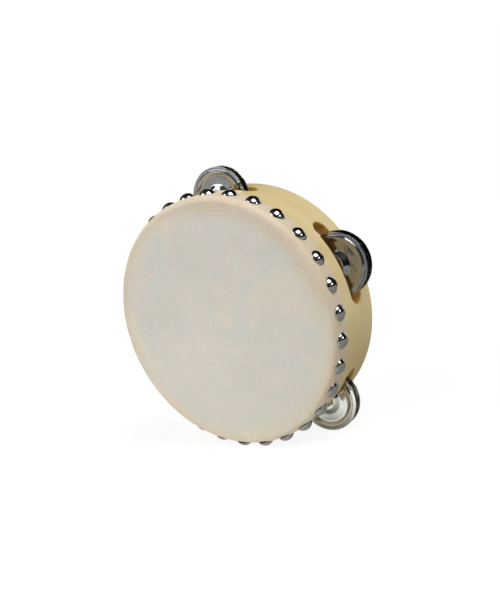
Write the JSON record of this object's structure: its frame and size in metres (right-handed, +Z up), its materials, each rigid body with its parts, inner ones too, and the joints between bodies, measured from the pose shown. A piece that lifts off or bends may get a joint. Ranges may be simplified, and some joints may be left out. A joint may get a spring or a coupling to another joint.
{
  "type": "tambourine",
  "caption": "Small hand tambourine: a round bent-wood hoop with a tacked hide head on one side and pairs of pressed metal jingles on pins in its slots, to be shaken or struck.",
  "frame": {"origin": "on the floor under the middle of the drum, which stands on its edge", "axes": "+Z up; +Y along the drum axis, out of the open rim; -Y is the way the hide head faces; +X to the right for someone who faces the head"},
  "size_m": [0.1738, 0.0476, 0.1673],
  "materials": {
    "wood": "satin varnish",
    "hide": "dry matt rawhide",
    "tack_nickel": "polished nickel plate",
    "jingle_nickel": "bright nickel plate",
    "pin_steel": "drawn wire"
  },
  "bodies": {
    "drum": {"hoop": "wood", "drum_head": "hide", "head_tacks": "tack_nickel", "jingle_pin_1": "pin_steel", "jingle_pin_2": "pin_steel", "jingle_pin_3": "pin_steel", "jingle_pin_4": "pin_steel", "jingle_pin_5": "pin_steel"},
    "jingle_1_front": {"jingle_1_front": "jingle_nickel"},
    "jingle_1_rear": {"jingle_1_rear": "jingle_nickel"},
    "jingle_2_front": {"jingle_2_front": "jingle_nickel"},
    "jingle_2_rear": {"jingle_2_rear": "jingle_nickel"},
    "jingle_3_front": {"jingle_3_front": "jingle_nickel"},
    "jingle_3_rear": {"jingle_3_rear": "jingle_nickel"},
    "jingle_4_front": {"jingle_4_front": "jingle_nickel"},
    "jingle_4_rear": {"jingle_4_rear": "jingle_nickel"},
    "jingle_5_front": {"jingle_5_front": "jingle_nickel"},
    "jingle_5_rear": {"jingle_5_rear": "jingle_nickel"}
  },
  "joints": [
    {"name": "jingle_1_front_slide", "type": "slide", "parent": "drum", "child": "jingle_1_front", "axis": [0, -1, 0], "range_m": [-0.00185, 0.0016]},
    {"name": "jingle_1_rear_slide", "type": "slide", "parent": "drum", "child": "jingle_1_rear", "axis": [0, 1, 0], "range_m": [-0.00185, 0.00105]},
    {"name": "jingle_2_front_slide", "type": "slide", "parent": "drum", "child": "jingle_2_front", "axis": [0, -1, 0], "range_m": [-0.0017, 0.00055]},
    {"name": "jingle_2_rear_slide", "type": "slide", "parent": "drum", "child": "jingle_2_rear", "axis": [0, 1, 0], "range_m": [-0.0017, 0.00045]},
    {"name": "jingle_3_front_slide", "type": "slide", "parent": "drum", "child": "jingle_3_front", "axis": [0, -1, 0], "range_m": [-0.0018, 0.0012]},
    {"name": "jingle_3_rear_slide", "type": "slide", "parent": "drum", "child": "jingle_3_rear", "axis": [0, 1, 0], "range_m": [-0.0018, 0.0008]},
    {"name": "jingle_4_front_slide", "type": "slide", "parent": "drum", "child": "jingle_4_front", "axis": [0, -1, 0], "range_m": [-0.0018, 0.0012]},
    {"name": "jingle_4_rear_slide", "type": "slide", "parent": "drum", "child": "jingle_4_rear", "axis": [0, 1, 0], "range_m": [-0.0018, 0.0008]},
    {"name": "jingle_5_front_slide", "type": "slide", "parent": "drum", "child": "jingle_5_front", "axis": [0, -1, 0], "range_m": [-0.00185, 0.001]},
    {"name": "jingle_5_rear_slide", "type": "slide", "parent": "drum", "child": "jingle_5_rear", "axis": [0, 1, 0], "range_m": [-0.00185, 0.0007]}
  ]
}
